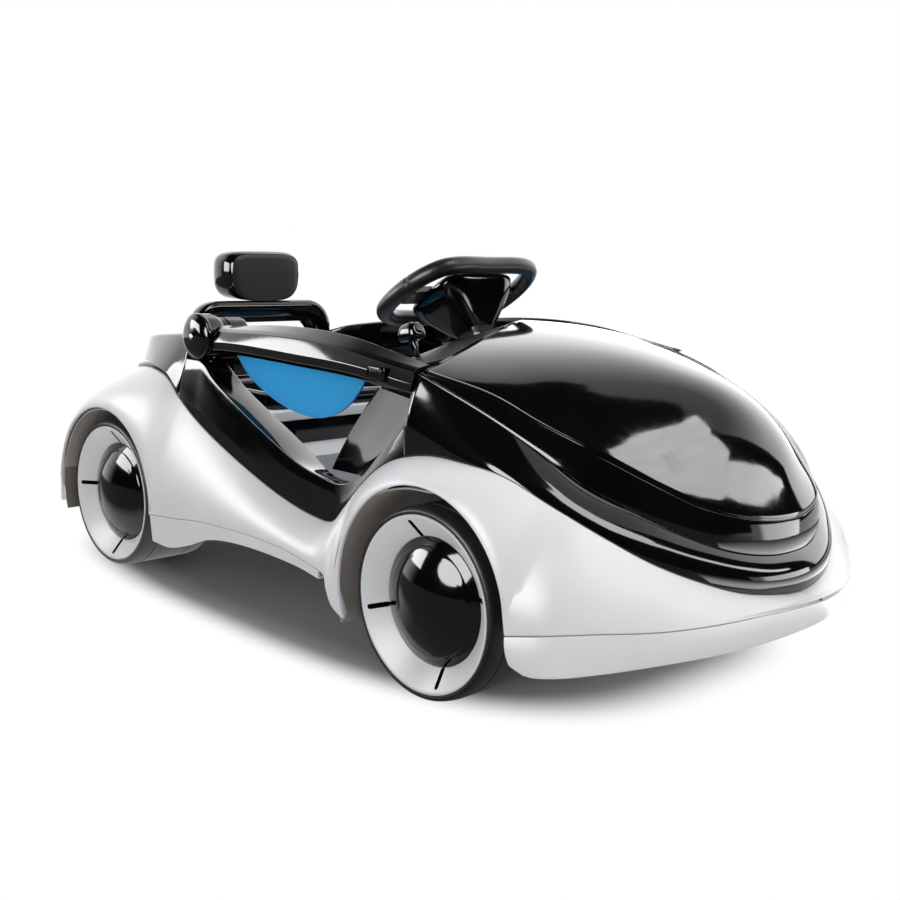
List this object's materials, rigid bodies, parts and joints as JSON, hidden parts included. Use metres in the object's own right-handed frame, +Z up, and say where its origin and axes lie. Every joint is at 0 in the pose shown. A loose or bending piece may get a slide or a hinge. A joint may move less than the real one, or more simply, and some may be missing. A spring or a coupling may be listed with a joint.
{
  "type": "kids ride-on car",
  "caption": "Low white and black kids ride-on car with domed hubs, a smooth black bonnet, D-shaped steering wheel, arch backrest and lift-up doors with blue windows.",
  "frame": {"origin": "on the floor, under the middle of the car", "axes": "+X towards the nose, +Y towards the driver's left, +Z up"},
  "size_m": [1.164, 0.63, 0.4817],
  "materials": {
    "white_gloss_plastic": "glossy moulded white",
    "black_gloss_plastic": "high gloss black",
    "black_satin_plastic": "satin black",
    "grey_arch_plastic": "satin smoky grey",
    "black_tyre_plastic": "satin black, hard hollow plastic tyre",
    "blue_clear_plastic": "clear tinted blue",
    "zinc_plated_steel": "zinc plated",
    "grey_case_plastic": "plain grey"
  },
  "bodies": {
    "car": {"tub": "white_gloss_plastic", "front_bumper": "white_gloss_plastic", "hood": "black_gloss_plastic", "front_shoulder": "black_gloss_plastic", "dash_panel": "black_satin_plastic", "rear_deck": "black_gloss_plastic", "seat_riser": "black_gloss_plastic", "seat_shelf": "white_gloss_plastic", "seat_pan": "black_gloss_plastic", "backrest_arch": "black_gloss_plastic", "headrest": "black_satin_plastic", "battery": "grey_case_plastic", "control_box": "grey_case_plastic", "rear_axle": "zinc_plated_steel", "front_axle_beam": "zinc_plated_steel", "side_shell_right": "white_gloss_plastic", "side_skirt_right": "white_gloss_plastic", "door_frame_right": "black_gloss_plastic", "pillar_trim_right": "black_gloss_plastic", "gearbox_right": "grey_case_plastic", "front_arch_liner_right": "grey_arch_plastic", "rear_arch_liner_right": "grey_arch_plastic", "hinge_housing_right": "black_gloss_plastic", "side_shell_left": "white_gloss_plastic", "side_skirt_left": "white_gloss_plastic", "door_frame_left": "black_gloss_plastic", "pillar_trim_left": "black_gloss_plastic", "gearbox_left": "grey_case_plastic", "front_arch_liner_left": "grey_arch_plastic", "rear_arch_liner_left": "grey_arch_plastic", "hinge_housing_left": "black_gloss_plastic"},
    "steering": {"steering_column": "zinc_plated_steel", "steering_rim": "black_satin_plastic", "steering_hub": "black_satin_plastic"},
    "tie_rod": {"tie_rod": "zinc_plated_steel"},
    "accelerator": {"accelerator_pedal": "black_satin_plastic"},
    "direction": {"direction_knob": "black_satin_plastic"},
    "power": {"power_switch": "black_satin_plastic"},
    "knuckle_right": {"knuckle_right": "zinc_plated_steel"},
    "knuckle_left": {"knuckle_left": "zinc_plated_steel"},
    "front_wheel_right": {"front_tyre_right": "black_tyre_plastic", "front_wheel_right": "white_gloss_plastic", "front_hub_dome_right": "black_gloss_plastic"},
    "rear_wheel_right": {"rear_tyre_right": "black_tyre_plastic", "rear_wheel_right": "white_gloss_plastic", "rear_hub_dome_right": "black_gloss_plastic"},
    "door_right": {"door_bar_right": "black_gloss_plastic", "door_window_right": "blue_clear_plastic"},
    "latch_right": {"latch_slider_right": "black_satin_plastic"},
    "button_right": {"sound_button_right": "black_satin_plastic"},
    "front_wheel_left": {"front_tyre_left": "black_tyre_plastic", "front_wheel_left": "white_gloss_plastic", "front_hub_dome_left": "black_gloss_plastic"},
    "rear_wheel_left": {"rear_tyre_left": "black_tyre_plastic", "rear_wheel_left": "white_gloss_plastic", "rear_hub_dome_left": "black_gloss_plastic"},
    "door_left": {"door_bar_left": "black_gloss_plastic", "door_window_left": "blue_clear_plastic"},
    "latch_left": {"latch_slider_left": "black_satin_plastic"},
    "button_left": {"sound_button_left": "black_satin_plastic"}
  },
  "joints": [
    {"name": "steering_turn", "type": "hinge", "parent": "car", "child": "steering", "pos_m": [0.01, 0, 0.4305], "axis": [0.5678, 0, -0.8231], "range_deg": [-36, 36]},
    {"name": "knuckle_turn_right", "type": "hinge", "parent": "car", "child": "knuckle_right", "pos_m": [0.267, -0.205, 0.109], "axis": [0, 0, -1], "range_deg": [-18, 18]},
    {"name": "knuckle_turn_left", "type": "hinge", "parent": "car", "child": "knuckle_left", "pos_m": [0.267, 0.205, 0.109], "axis": [0, 0, -1], "range_deg": [-18, 18]},
    {"name": "tie_rod_slide", "type": "slide", "parent": "car", "child": "tie_rod", "axis": [0, 1, 0], "range_m": [-0.0155, 0.0155]},
    {"name": "front_wheel_spin_right", "type": "hinge", "parent": "knuckle_right", "child": "front_wheel_right", "pos_m": [0.267, -0.24, 0.109], "axis": [0, 1, 0], "continuous": true},
    {"name": "rear_wheel_spin_right", "type": "hinge", "parent": "car", "child": "rear_wheel_right", "pos_m": [-0.409, -0.24, 0.109], "axis": [0, 1, 0], "continuous": true},
    {"name": "door_lift_right", "type": "hinge", "parent": "car", "child": "door_right", "pos_m": [-0.222, -0.25, 0.3585], "axis": [0, -1, 0], "range_deg": [0, 75]},
    {"name": "latch_slide_right", "type": "slide", "parent": "door_right", "child": "latch_right", "axis": [1, 0, 0], "range_m": [0, 0.008], "stiffness_N_per_m": 200},
    {"name": "sound_button_push_right", "type": "slide", "parent": "steering", "child": "button_right", "axis": [0.5678, 0, -0.8231], "range_m": [0, 0.002], "stiffness_N_per_m": 400},
    {"name": "front_wheel_spin_left", "type": "hinge", "parent": "knuckle_left", "child": "front_wheel_left", "pos_m": [0.267, 0.24, 0.109], "axis": [0, 1, 0], "continuous": true},
    {"name": "rear_wheel_spin_left", "type": "hinge", "parent": "car", "child": "rear_wheel_left", "pos_m": [-0.409, 0.24, 0.109], "axis": [0, 1, 0], "continuous": true},
    {"name": "door_lift_left", "type": "hinge", "parent": "car", "child": "door_left", "pos_m": [-0.222, 0.25, 0.3585], "axis": [0, -1, 0], "range_deg": [0, 75]},
    {"name": "latch_slide_left", "type": "slide", "parent": "door_left", "child": "latch_left", "axis": [1, 0, 0], "range_m": [0, 0.008], "stiffness_N_per_m": 200},
    {"name": "sound_button_push_left", "type": "slide", "parent": "steering", "child": "button_left", "axis": [0.5678, 0, -0.8231], "range_m": [0, 0.002], "stiffness_N_per_m": 400},
    {"name": "accelerator_press", "type": "hinge", "parent": "car", "child": "accelerator", "pos_m": [0.042, -0.095, 0.1316], "axis": [0, 1, 0], "range_deg": [0, 12], "stiffness_Nm_per_rad": 2},
    {"name": "direction_select", "type": "hinge", "parent": "car", "child": "direction", "pos_m": [0.091, -0.15, 0.344], "axis": [0, 1, 0], "range_deg": [-8, 8]},
    {"name": "power_rock", "type": "hinge", "parent": "car", "child": "power", "pos_m": [0.11443, 0.15, 0.3642], "axis": [0, 1, 0], "range_deg": [-8, 8]}
  ],
  "couplings": [
    {"joint": "knuckle_turn_right", "follows": "steering_turn", "ratio": 0.5},
    {"joint": "knuckle_turn_left", "follows": "steering_turn", "ratio": 0.5},
    {"joint": "tie_rod_slide", "follows": "steering_turn", "m_per_rad": 0.02459}
  ]
}
